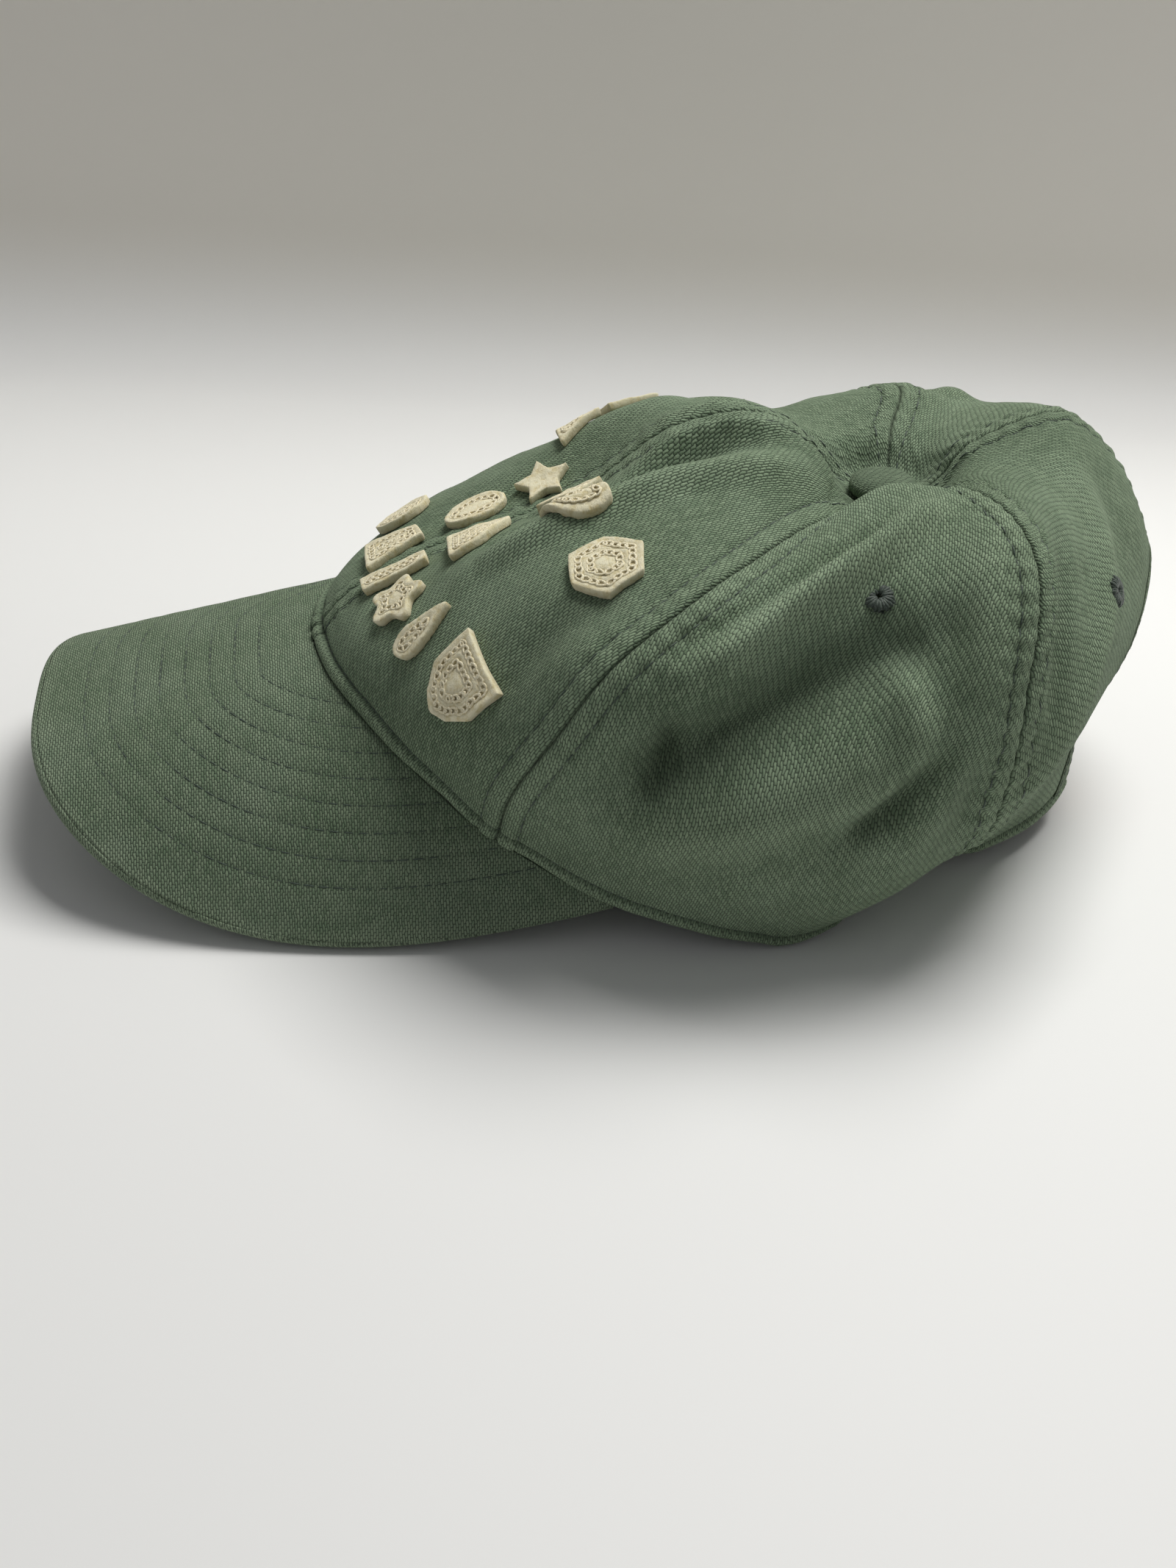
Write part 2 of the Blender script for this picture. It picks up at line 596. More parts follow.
BUTTON_WELL = 1.8


def button_distance(points):
    return np.hypot(points[..., 0], points[..., 1] - BUTTON_Y)


def slack_lift(points):
    """Folds and small slack, which die away where the button holds the cloth down."""
    slack = fold_relief(points) + 0.35 * waves(points, 26.0, 3) + 0.10 * waves(points, 9.0, 4)
    away = button_distance(points)
    return slack * (0.1 + 0.9 * ease(8.0, 26.0, away)) - BUTTON_WELL * bell(away - 12.5, 4.0)


def draped(line, height, lift=0.0):
    """A place on the folded cloth, this far above its face, and the way it faces."""
    base = crown(line, height)
    normal = crown_normal(line, height)
    return base + normal * (slack_lift(base) + lift)[..., None], normal


# ---------------------------------------------------------------- crown panels

PANELS = ["front_panel_left", "side_panel_left", "back_panel_left",
          "back_panel_right", "side_panel_right", "front_panel_right"]
SEAM_STEPS = np.array([0.0, 0.35, 0.7, 1.2, 1.8, 2.5, 3.2, 3.9, 4.4, 4.8, 5.2, 5.8, 6.6, 7.6])
STITCH_COLUMN = 9
HEM_STEPS = np.array([0.0, 0.5, 1.1, 1.7, 2.3, 2.9, 3.4, 3.8, 4.2, 4.8, 5.6, 6.6])
HEM_STITCH_ROW = 7
HEM_STITCH = HEM_STEPS[HEM_STITCH_ROW]
HEM_WIDTH = 3.6
PANEL_MIDDLE = 58
PANEL_ROWS = 150
CLOTH = 0.9
# how strongly each seam is puckered, by line number
PUCKERS = {0: 0.22, 2: 0.22, 4: 0.44, 6: 0.32, 8: 0.36, 10: 0.22}


def panel_places(first):
    """Line and height of every point of a panel, spaced evenly in millimetres of cloth."""
    lines = np.linspace(first, first + 2, 161)
    heights = np.linspace(0, TOP, 281)
    surface = crown(lines[:, None], heights[None, :])
    climb = walk(surface)
    rest = np.linspace(0, 1, PANEL_ROWS - len(HEM_STEPS) + 1)[1:]
    hem = HEM_STEPS[-1]
    line_grid, height_grid, left, climbed = [], [], [], []
    for row in range(PANEL_ROWS):
        if row < len(HEM_STEPS):
            goal = np.full(len(lines), HEM_STEPS[row])
        else:
            goal = hem + (climb[:, -1] - hem) * rest[row - len(HEM_STEPS)]
        at = np.array([np.interp(goal[i], climb[i], heights) for i in range(len(lines))])
        across = crown(lines, at)
        walked = walk(across)
        width = walked[-1]
        edge = SEAM_STEPS * min(1.0, width / 30.0)
        middle = np.linspace(edge[-1], width - edge[-1], PANEL_MIDDLE + 2)[1:-1]
        goals = np.concatenate([edge, middle, width - edge[::-1]])
        line_grid.append(np.interp(goals, walked, lines))
        height_grid.append(np.interp(goals, walked, at))
        left.append(goals)
        climbed.append(np.interp(goals, walked, goal))
    return (np.array(grid) for grid in (line_grid, height_grid, left, climbed))


def seam_relief(distance, run, strength, seed):
    """Two rolled ridges beside a seam, its groove, its stitch line and its puckers."""
    stitch = SEAM_STEPS[STITCH_COLUMN]
    inside = np.clip((distance - 0.3) / (stitch - 0.5), 0, 1)
    ridge = 0.38 * np.sin(inside * math.pi) ** 0.4
    groove = -0.60 * bell(distance, 0.4) - 0.26 * bell(distance - stitch, 0.5)
    random = np.random.default_rng(seed)
    phase = sum(random.uniform(0.3, 1.0) * np.sin(run / random.uniform(7, 25) + random.uniform(0, 6))
                for _ in range(4))
    ripple = np.sin(run * 2 * math.pi / 5.2 + 1.6 * phase)
    pucker = strength * ripple * bell(distance - 4.2, 4.0)
    return ridge + groove + pucker, ridge / 0.38, np.clip(-groove / 0.5, 0, 1)


def build_panel(index, name):
    first = index * 2
    line, height, left, climbed = panel_places(first)
    width = left[:, -1:]
    right = width - left
    base = crown(line, height)
    normal = crown_normal(line, height)
    lift = slack_lift(base)
    after = (first + 2) % LINES
    seam_l, wear_l, deep_l = seam_relief(left, climbed, PUCKERS[first], first)
    seam_r, wear_r, deep_r = seam_relief(right, climbed, PUCKERS[after], after)
    calm = ease(2.0, 14.0, width / 2.0)
    relief = (seam_l + seam_r) * calm
    hem = np.clip(climbed / HEM_WIDTH, 0, 1)
    relief += 0.85 * np.sin(hem * math.pi) ** 0.6 - 0.55 * bell(climbed - HEM_STITCH, 0.45)
    outer = base + normal * (lift + relief)[..., None]
    inner = base + normal * (lift - CLOTH)[..., None]
    wear = np.clip(np.maximum(wear_l, wear_r) * 0.30 + 0.6 * np.sin(hem * math.pi), 0, 1)
    wear = wear * (0.6 + 0.4 * waves(base, 7.0, 11)) + 0.10 * np.clip(lift, 0, 2.5)
    deep = np.clip(deep_l + deep_r + bell(climbed - HEM_STITCH, 0.5), 0, 1) * 0.8
    deep = np.clip(deep + 0.10 * np.clip(-lift, 0, 4), 0, 1)
    middle = left - width / 2
    uv = np.stack([middle + 100 * index, climbed], -1)
    piece = cloth_piece(name + "_cloth", outer, inner, uv, CANVAS, wear=np.clip(wear, 0, 1),
                        deep=deep, replaces=[name])
    return {"piece": piece, "outer": outer, "normal": normal}


PANEL_GRIDS = [build_panel(index, name) for index, name in enumerate(PANELS)]

# ---------------------------------------------------------------- visor


def flat_reach(x):
    """How far across the cloth a point lies when the visor is laid flat."""
    table = np.linspace(0, VISOR_HALF_WIDTH * 1.1, 400)
    slope = VISOR_DROOP * VISOR_ROUNDING / VISOR_HALF_WIDTH * (table / VISOR_HALF_WIDTH) ** (
        VISOR_ROUNDING - 1)
    walked = np.concatenate([[0], np.cumsum(np.sqrt(1 + ((slope[1:] + slope[:-1]) / 2) ** 2)
                                            * np.diff(table))])
    return np.sign(x) * np.interp(np.abs(x), table, walked)


def flat(xy):
    return np.stack([flat_reach(xy[..., 0]), xy[..., 1] * math.hypot(1, VISOR_SLOPE)], -1)


def visor_normal(xy):
    x = xy[..., 0]
    slope = -np.sign(x) * VISOR_DROOP * VISOR_ROUNDING / VISOR_HALF_WIDTH * (
        np.abs(x) / VISOR_HALF_WIDTH) ** (VISOR_ROUNDING - 1)
    return unit(np.stack([-slope, np.full_like(x, -VISOR_SLOPE), np.ones_like(x)], -1))


def visor_point(xy, depth=0.0):
    top = np.concatenate([xy, visor_top(xy[..., 0], xy[..., 1])[..., None]], -1)
    return top - visor_normal(xy) * np.asarray(depth)[..., None]


EDGE_LINE = flat(visor_outline(np.linspace(-1, 1, 241)))
ROW_PITCH = 6.0
STITCH_ROWS = [13.0 + ROW_PITCH * k for k in range(8)]
VISOR_CLOTH = 0.8
EDGE_RADIUS = VISOR_STACK / 2
WAYS = np.linspace(-1, 1, 301)
VISOR_GRID_ROWS = 96


def visor_grid(near_inset, far_inset, rows):
    """Plan points between the rim and the outline, closer together towards the outline."""
    inner = rim_xy(WAYS * VISOR_END + LINES)
    outer = visor_outline(WAYS)
    run = outer - inner
    length = np.linalg.norm(run, axis=1, keepdims=True)
    run = run / np.maximum(length, 1e-6)
    low = np.minimum(near_inset, length * 0.3)
    high = np.maximum(length - far_inset, low + length * 0.1)
    parts = np.linspace(0, 1, rows)[:, None, None]
    return inner + run * (low + (high - low) * parts)


def visor_sheet(name, node, below):
    """The cloth over or under the visor's board, quilted between its rows of stitches."""
    xy = visor_grid(0.1, EDGE_RADIUS, VISOR_GRID_ROWS)
    spread = flat(xy)
    edge = distance_to(spread, EDGE_LINE)
    groove = sum(bell(edge - row, 0.5) for row in STITCH_ROWS)
    puff = 0.04 * np.cos((edge - STITCH_ROWS[0]) / ROW_PITCH * 2 * math.pi + math.pi)
    puff = puff * ease(9, 14, edge) * (1 - ease(56, 62, edge))
    lift = puff - 0.12 * groove
    start = visor_point(xy)
    lift = lift + 0.10 * waves(start, 14.0, 21)
    sign = -1.0 if below else 1.0
    depth = np.full(edge.shape, VISOR_STACK if below else 0.0) - sign * lift
    outer = visor_point(xy, depth)
    inner = visor_point(xy, np.full(edge.shape, VISOR_STACK - VISOR_CLOTH if below else VISOR_CLOTH))
    wear = 0.35 * bell(edge - EDGE_RADIUS, 2.5) + 0.15 * waves(start, 10.0, 5)
    if not below:
        outer, inner, spread, groove, wear = (
            grid[:, ::-1] for grid in (outer, inner, spread, groove, wear))
    # turned a quarter so that the floats lie across the visor
    return cloth_piece(name, outer, inner, spread[..., ::-1], VISOR_CANVAS,
                       wear=np.clip(wear, 0, 1), deep=np.clip(groove, 0, 1) * 0.22,
                       replaces=[node])


def visor_edge():
    """The fold where the two cloths of the visor meet, half round in section."""
    turn = np.linspace(math.pi / 2, -math.pi / 2, 13)
    inner = rim_xy(WAYS * VISOR_END + LINES)
    outer = visor_outline(WAYS)
    run = unit(outer - inner)
    reach = flat(outer)
    rows, uv = [], []
    for angle in turn:
        inset = EDGE_RADIUS * (1 - math.cos(angle))
        xy = outer - run * inset
        depth = EDGE_RADIUS * (1 - math.sin(angle))
        rows.append(visor_point(xy, np.full(len(xy), depth)))
        walked = EDGE_RADIUS * (math.pi / 2 - angle)
        uv.append(np.stack([reach[:, 1] - walked, reach[:, 0]], -1))
    skin = np.array(rows)
    core = np.stack([visor_point(outer - run * EDGE_RADIUS, np.full(len(outer), d))
                     for d in np.linspace(VISOR_CLOTH, VISOR_STACK - VISOR_CLOTH, len(turn))])
    wear = np.full(skin.shape[:2], 0.35) + 0.15 * waves(skin, 6.0, 8)
    return cloth_piece("visor_edge_fold", skin[:, ::-1], core[:, ::-1], np.array(uv)[:, ::-1],
                       VISOR_CANVAS, wear=np.clip(wear, 0, 1)[:, ::-1], replaces=["visor_edge_roll"])


visor_sheet("visor_top", "visor_top_cloth", False)
visor_sheet("visor_under", "visor_under_cloth", True)
visor_edge()

# ---------------------------------------------------------------- rows of stitches


def sewing_tree():
    """Sets a stitch on every point, turned along its row and facing out of the cloth."""
    tree = bpy.data.node_groups.new("sewing", "GeometryNodeTree")
    face = tree.interface
    face.new_socket("Geometry", in_out="OUTPUT", socket_type="NodeSocketGeometry")
    for name, kind in (("Geometry", "Geometry"), ("Stitch", "Object"), ("Thread", "Material"),
                       ("Size", "Vector"), ("Wobble", "Float"), ("Seed", "Int")):
        face.new_socket(name, in_out="INPUT", socket_type="NodeSocket" + kind)
    given = add(tree, "NodeGroupInput").outputs
    along, facing = (add(tree, "GeometryNodeInputNamedAttribute", {"Name": key},
                         data_type="FLOAT_VECTOR") for key in ("along", "facing"))
    turn = add(tree, "FunctionNodeAxesToRotation", [along, facing], primary_axis="X",
               secondary_axis="Z")
    uneven = add(tree, "FunctionNodeRandomValue", {2: -1.0, 3: 1.0, "Seed": given["Seed"]},
                 data_type="FLOAT").outputs[1]
    spread = add(tree, MATH, [uneven, given["Wobble"], 1.0], operation="MULTIPLY_ADD")
    scale = add(tree, "ShaderNodeVectorMath", {0: given["Size"], "Scale": spread},
                operation="SCALE")
    shape = add(tree, "GeometryNodeObjectInfo", [given["Stitch"]]).outputs["Geometry"]
    placed = add(tree, "GeometryNodeInstanceOnPoints", {
        "Points": given["Geometry"], "Instance": shape, "Rotation": turn, "Scale": scale})
    solid = add(tree, "GeometryNodeRealizeInstances", [placed])
    smooth = add(tree, "GeometryNodeSetShadeSmooth", [solid])
    painted = add(tree, "GeometryNodeSetMaterial", {0: smooth, "Material": given["Thread"]})
    add(tree, "NodeGroupOutput", [painted])
    return tree


SEWING = sewing_tree()


def thread_shape():
    """One stitch, a metre long and thick before scaling: blunt ends that dive into the cloth."""
    profile = [(-0.5, 0.12, -0.55), (-0.42, 0.38, -0.2), (-0.2, 0.5, 0.0), (0.2, 0.5, 0.0),
               (0.42, 0.38, -0.2), (0.5, 0.12, -0.55)]
    around = 6
    points = []
    for x, radius, sink in profile:
        for k in range(around):
            angle = k / around * 2 * math.pi
            points.append((x, radius * math.cos(angle), radius * math.sin(angle) + sink))
    faces = tube_faces(len(profile), around)
    return new_object("stitch_shape", new_mesh("stitch_shape", points, faces))


def chain_shape():
    """One link of chain stitch: a loop, pointed where the next link pulls on it."""
    major, minor = 12, 5
    points, faces = [], []
    for i in range(major):
        angle = i / major * 2 * math.pi
        x = 0.5 * math.cos(angle)
        y = 0.36 * math.sin(angle) * (0.75 - 0.35 * math.cos(angle))
        out = Vector((math.cos(angle), 0.8 * math.sin(angle), 0)).normalized()
        for k in range(minor):
            turn = k / minor * 2 * math.pi
            spot = Vector((x, y, 0)) + out * 0.13 * math.cos(turn)
            points.append((spot.x, spot.y, 0.17 * math.sin(turn)))
    for i in range(major):
        for k in range(minor):
            a, b = i * minor + k, i * minor + (k + 1) % minor
            c, d = ((i + 1) % major) * minor + (k + 1) % minor, ((i + 1) % major) * minor + k
            faces.append((a, d, c, b))
    return new_object("chain_shape", new_mesh("chain_shape", points, faces))


STITCH = thread_shape()
CHAIN = chain_shape()


def row(path, facing, pitch, skip=0.0, lift=0.0):
    """Middle, direction and facing of each stitch along a path in millimetres."""
    path, facing = np.asarray(path, float), np.asarray(facing, float)
    walked = walk(path)
    places = np.arange(skip + pitch / 2, walked[-1] - skip, pitch)

    def at(values, where):
        return np.stack([np.interp(where, walked, values[:, k]) for k in range(3)], -1)

    out = unit(at(facing, places))
    along = unit(at(path, places + pitch * 0.4) - at(path, places - pitch * 0.4))
    return at(path, places) + out * lift, along, out


def sew(name, rows, thread, size, body="cap", stitch=None, replaces=(), wobble=0.12):
    """One piece that holds every stitch of these rows; size is length, width and height."""
    rows = [r for r in rows if len(r[0])]
    points, along, facing = (np.concatenate([r[k] for r in rows]) for k in range(3))
    mesh = new_mesh(name + "_places", points * MM)
    for key, values in (("along", along), ("facing", facing)):
        mark = mesh.attributes.new(key, "FLOAT_VECTOR", "POINT")
        mark.data.foreach_set("vector", values.astype(np.float32).ravel())
    places = new_object(name + "_places", mesh)
    modifier = places.modifiers.new("sewing", "NODES")
    modifier.node_group = SEWING
    values = {"Stitch": stitch or STITCH, "Thread": thread, "Size": [v * MM for v in size],
              "Wobble": wobble, "Seed": SEED}
    for item in SEWING.interface.items_tree:
        if item.in_out == "INPUT" and item.name in values:
            modifier[item.identifier] = values[item.name]
    made = plain_mesh(places)
    bpy.data.objects.remove(places)
    for key in ("along", "facing"):
        if key in made.attributes:
            made.attributes.remove(made.attributes[key])
    return settle(new_object(name, made), body, replaces)


OPENING_HALF_WIDTH, OPENING_HEIGHT, ARCH_FLATNESS = 31.0, 56.0, 0.75
ARCH_SAG = OPENING_HALF_WIDTH * ARCH_FLATNESS
ARCH_RADIUS = (OPENING_HALF_WIDTH ** 2 + ARCH_SAG ** 2) / (2 * ARCH_SAG)
THREAD_SIZE = (2.7, 0.34, 0.34)
THREAD_PITCH = 3.3
PROUD = 0.05
BUTTON_CLEAR = 10.5
FIRST_SEAM_ROW = 8


def in_opening(points):
    """Whether places on the crown lie where the back opening is cut."""
    half = OPENING_HALF_WIDTH + 1.0
    inside = (np.abs(points[..., 0]) < half) & (points[..., 1] > BUTTON_Y)
    over = np.sqrt(np.maximum(ARCH_RADIUS ** 2 - points[..., 0] ** 2, 0.0))
    return inside & (points[..., 2] < OPENING_HEIGHT + 1.0 - ARCH_RADIUS + over)


def crown_rows():
    """Topstitching beside every seam, and one row round the hem."""
    rows = []
    for grid in PANEL_GRIDS:
        outer, normal = grid["outer"], grid["normal"]
        places = [(slice(FIRST_SEAM_ROW, None), column)
                  for column in (STITCH_COLUMN, -1 - STITCH_COLUMN)]
        for place in places + [HEM_STITCH_ROW]:
            path, facing = outer[place], normal[place]
            clear = (button_distance(path) > BUTTON_CLEAR) & ~in_opening(path)
            rows.append(row(path[clear], facing[clear], THREAD_PITCH, lift=PROUD))
    return rows


def inside_rim(xy):
    """Whether points lie inside the rim as seen from above."""
    loop = rim_xy(np.linspace(0, LINES, 361)[:-1])
    after = np.roll(loop, -1, axis=0)
    x, y = xy[:, 0][:, None], xy[:, 1][:, None]
    spans = (loop[:, 1] > y) != (after[:, 1] > y)
    cross = (after[:, 0] - loop[:, 0]) * (y - loop[:, 1]) / (after[:, 1] - loop[:, 1] + 1e-12)
    return (spans & (x < cross + loop[:, 0])).sum(axis=1) % 2 == 1


def unflat(spread):
    table = np.linspace(0, VISOR_HALF_WIDTH * 1.1, 400)
    walked = flat_reach(table)
    x = np.sign(spread[:, 0]) * np.interp(np.abs(spread[:, 0]), walked, table)
    return np.stack([x, spread[:, 1] / math.hypot(1, VISOR_SLOPE)], -1)


def visor_rows(below):
    """The visor's quilting: rows that follow its edge, each further in."""
    fine = flat(visor_outline(np.linspace(-1, 1, 1201)))
    run = unit(np.gradient(fine, axis=0))
    inward = np.stack([-run[:, 1], run[:, 0]], -1)
    middle = np.array([0.0, -HALF_LENGTH])
    inward *= np.sign(((middle - fine) * inward).sum(axis=1))[:, None]
    rows = []
    for inset in STITCH_ROWS:
        path = fine + inward * inset
        good = distance_to(path, EDGE_LINE) > inset - 0.15
        xy = unflat(path)
        good &= ~inside_rim(xy)
        good &= np.abs(xy[:, 0]) < VISOR_HALF_WIDTH
        steps = np.flatnonzero(good)
        if not len(steps):
            continue
        for part in np.split(steps, np.flatnonzero(np.diff(steps) > 12) + 1):
            if len(part) < 10:
                continue
            spot = xy[part]
            up = visor_normal(spot)
            depth = np.full(len(spot), VISOR_STACK - 0.2 if below else 0.2)
            facing = -up if below else up
            rows.append(row(visor_point(spot, depth), facing, THREAD_PITCH, skip=0.6, lift=0.0))
    return rows


sew("crown_topstitching", crown_rows(), SEWING_THREAD, THREAD_SIZE)
sew("visor_stitching", visor_rows(False) + visor_rows(True), SEWING_THREAD,
    THREAD_SIZE)

# ---------------------------------------------------------------- eyelets

EYELETS = [
    ("side_eyelet_left", 2.95, 3.85),
    ("back_eyelet_left", 4.8, 3.2),
    ("back_eyelet_right", 7.2, 3.2),
    ("side_eyelet_right", 9.05, 3.85),
]
EYELET_HOLE = 1.1
EYELET_REACH = 3.3


def eyelet_seat(line, height):
    """A hole's middle on the cloth, the way out of it, and a function for rays round it."""
    spot, out = (a[0] for a in draped(np.array([line]), np.array([height])))
    side = unit(np.cross(out, [0.0, 0.0, 1.0]))
    rise = np.cross(side, out)
    return spot, out, lambda angle: np.cos(angle)[:, None] * side + np.sin(angle)[:, None] * rise


def eyelet_rows(line, height):
    """Satin stitches laid round a hole, on both faces of the cloth."""
    spot, out, rays = eyelet_seat(line, height)
    random = np.random.default_rng(int(line * 100))
    rows = []
    for count, inner, outer, lift, face in ((26, EYELET_HOLE, EYELET_REACH, 0.10, 1.0),
                                            (21, EYELET_HOLE * 0.9, EYELET_REACH * 0.9, 0.28, 1.0),
                                            (24, EYELET_HOLE, EYELET_REACH, -1.3, -1.0)):
        angle = (np.arange(count) + random.uniform(-0.25, 0.25, count)) / count * 2 * math.pi
        ray = rays(angle)
        middle = (inner + outer) / 2 + random.uniform(-0.2, 0.2, count)[:, None]
        rows.append((spot + ray * middle + out * lift, ray, np.tile(out * face, (count, 1))))
    return rows


for eyelet, at_line, at_height in EYELETS:
    sew(eyelet + "_stitches", eyelet_rows(at_line, at_height), EYELET_THREAD,
        (EYELET_REACH - EYELET_HOLE + 0.5, 0.85, 0.7), replaces=[eyelet], wobble=0.10)

# ---------------------------------------------------------------- felt patches

FELT = 2.2
FELT_SEAMS = (2.3, 4.9)
FELT_SEED = 100
# each patch's crown line and height, its width and length in millimetres, and its turn
FELT_PATCHES = [
    ("felt_square", 10.5, 3.75, 13.0, 13.0, 10.0),
    ("felt_triangle", 10.93, 3.34, 13.0, 13.0, 0.0),
    ("felt_star", 11.64, 2.86, 14.0, 14.0, 0.0),
    ("felt_diamond", 0.30, 2.98, 12.0, 17.0, 0.0),
    ("felt_leaf", 0.93, 3.02, 11.0, 18.0, -25.0),
    ("felt_hexagon", 1.47, 3.22, 18.0, 16.0, 0.0),
    ("felt_oval", 11.68, 2.25, 10.0, 16.0, 0.0),
    ("felt_quarter", 0.45, 2.18, 15.0, 15.0, 0.0),
    ("felt_disc", 11.05, 1.60, 15.0, 15.0, 0.0),
    ("felt_trapezoid", 11.72, 1.48, 14.0, 15.0, 0.0),
    ("felt_slant", 0.22, 1.42, 9.0, 17.0, 0.0),
    ("felt_flower", 0.61, 1.36, 15.0, 15.0, 0.0),
    ("felt_drop", 1.03, 1.42, 10.0, 17.0, 0.0),
    ("felt_shield", 1.47, 1.50, 17.0, 17.0, 0.0),
]


def outline_of(kind):
    """A patch's outline, from -1 to 1 each way."""
    turn = np.linspace(0, 2 * math.pi, 73)[:-1]
    circle = np.stack([np.cos(turn), np.sin(turn)], -1)
    if kind in ("disc", "oval"):
        return circle
    if kind == "flower":
        return circle * (0.82 + 0.18 * np.cos(5 * turn))[:, None]
    if kind == "leaf":
        return np.stack([np.sign(circle[:, 0]) * np.abs(circle[:, 0]) ** 1.5, circle[:, 1]], -1)
    if kind == "drop":
        return np.stack([circle[:, 0] * (0.62 - 0.38 * circle[:, 1]), circle[:, 1]], -1)
    if kind == "quarter":
        arc = np.linspace(0, math.pi / 2, 25)
        return np.concatenate([[(-1, -1)], np.stack([2 * np.cos(arc) - 1, 2 * np.sin(arc) - 1], -1)])
    if kind == "star":
        spokes = np.radians(90 + 36 * np.arange(10))
        reach = np.where(np.arange(10) % 2 == 0, 1.05, 0.56)
        return np.stack([reach * np.cos(spokes), reach * np.sin(spokes)], -1)
    if kind == "hexagon":
        spokes = np.radians(60 * np.arange(6))
        return np.stack([np.cos(spokes), 1.15 * np.sin(spokes)], -1)
    corners = {
        "square": [(-1, -1), (1, -1), (1, 1), (-1, 1)],
        "triangle": [(-1, -0.9), (1, -0.9), (0, 1)],
        "diamond": [(0, -1), (1, 0), (0, 1), (-1, 0)],
        "trapezoid": [(-1, -1), (1, -1), (0.55, 1), (-0.55, 1)],
        "slant": [(-1, -1), (0.35, -1), (1, 1), (-0.35, 1)],
        "shield": [(-1, 1), (-1, -0.2), (-0.55, -0.75), (0, -1), (0.55, -0.75), (1, -0.2), (1, 1)],
    }
    return np.array(corners[kind], float)


def closed_path(corners, step):
    """Points about a step apart round a closed outline."""
    loop = closed(corners)
    walked = walk(loop)
    count = max(8, int(walked[-1] / step))
    places = np.arange(count) / count * walked[-1]
    return np.stack([np.interp(places, walked, loop[:, k]) for k in range(2)], -1)


def inset_path(loop, inset):
    """The loop moved inwards, with its corners trimmed."""
    run = unit(np.roll(loop, -1, axis=0) - np.roll(loop, 1, axis=0))
    inward = np.stack([-run[:, 1], run[:, 0]], -1)
    area = (loop[:, 0] * np.roll(loop[:, 1], -1) - np.roll(loop[:, 0], -1) * loop[:, 1]).sum()
    moved = loop + inward * inset * np.sign(area)
    return moved[distance_to(moved, closed(loop)) > inset * 0.96]


def felt_slab(loop, voxel=0.42, rounds=3):
    """A soft-edged slab with this outline, as points and faces in millimetres."""
    blank = prism("blank", np.pad(loop, ((0, 0), (0, 1))), np.array([0, 0, FELT]), scale=1.0)
    remesh = blank.modifiers.new("remesh", "REMESH")
    remesh.mode = "VOXEL"
    remesh.voxel_size = voxel
    soften = blank.modifiers.new("soften", "SMOOTH")
    soften.iterations = rounds
    soften.factor = 0.5
    made = plain_mesh(blank)
    points = np.empty(len(made.vertices) * 3)
    made.vertices.foreach_get("co", points)
    faces = [tuple(face.vertices) for face in made.polygons]
    bpy.data.objects.remove(blank)
    bpy.data.meshes.remove(made)
    return points.reshape(-1, 3), faces


def on_patch(patch, flat_points):
    """Carries points drawn flat on a patch to the folded crown."""
    _, line, height, _, _, turn = patch
    around = (crown(line + STEP, height) - crown(line - STEP, height)) / (2 * STEP)
    up = (crown(line, height + STEP) - crown(line, height - STEP)) / (2 * STEP)
    across = unit(around)
    climb = np.linalg.norm(up - across * (up @ across))
    skew = (up @ across) / np.linalg.norm(around)
    angle = math.radians(turn)
    side = flat_points[:, 0] * math.cos(angle) - flat_points[:, 1] * math.sin(angle)
    rise = flat_points[:, 0] * math.sin(angle) + flat_points[:, 1] * math.cos(angle)
    at_line = line + side / np.linalg.norm(around) - skew * rise / climb
    return draped(at_line, height + rise / climb, flat_points[:, 2] + 0.15)


def build_felt():
    """The felt patches, each sunk along its rings of chain stitch, and all their stitches."""
    links = []
    for index, patch in enumerate(FELT_PATCHES):
        name, _, _, width, length, _ = patch
        corners = outline_of(name.split("_")[1]) * (width / 2, length / 2)
        loop = closed_path(corners, 0.5)
        points, faces = felt_slab(loop)
        sunk = np.zeros(len(points))
        for inset in FELT_SEAMS:
            seam = inset_path(loop, inset)
            if len(seam) < 24:
                continue
            seam = closed(seam)
            sunk = np.maximum(sunk, bell(distance_to(points[:, :2], seam), 1.0))
            flat_seam = np.concatenate([seam, np.full((len(seam), 1), FELT - 0.28)], 1)
            path, facing = on_patch(patch, flat_seam)
            links.append(row(path, facing, 1.75))
        high = points[:, 2] > FELT * 0.6
        points[:, 2] -= np.where(high, 0.55 * sunk, 0)
        wobble = waves(points * (1, 1, 0.5), 5.0, FELT_SEED + index)
        points[:, 2] += np.where(high, 0.14 * wobble, 0)
        edge = distance_to(points[:, :2], closed(loop))
        deep = np.clip(1.2 - points[:, 2] / FELT, 0, 1) * bell(edge, 0.8)
        deep = np.maximum(deep, np.where(high, 0.8 * sunk, 0))
        placed, _ = on_patch(patch, points)
        make_piece(name + "_patch", placed, faces, FELT_CLOTH, slot="felt", replaces=[name],
                   deep=deep)
    sew("felt_chain_stitching", links, CHAIN_THREAD, (2.3, 2.6, 1.5),
        stitch=CHAIN, wobble=0.08)


build_felt()

# ---------------------------------------------------------------- covered button


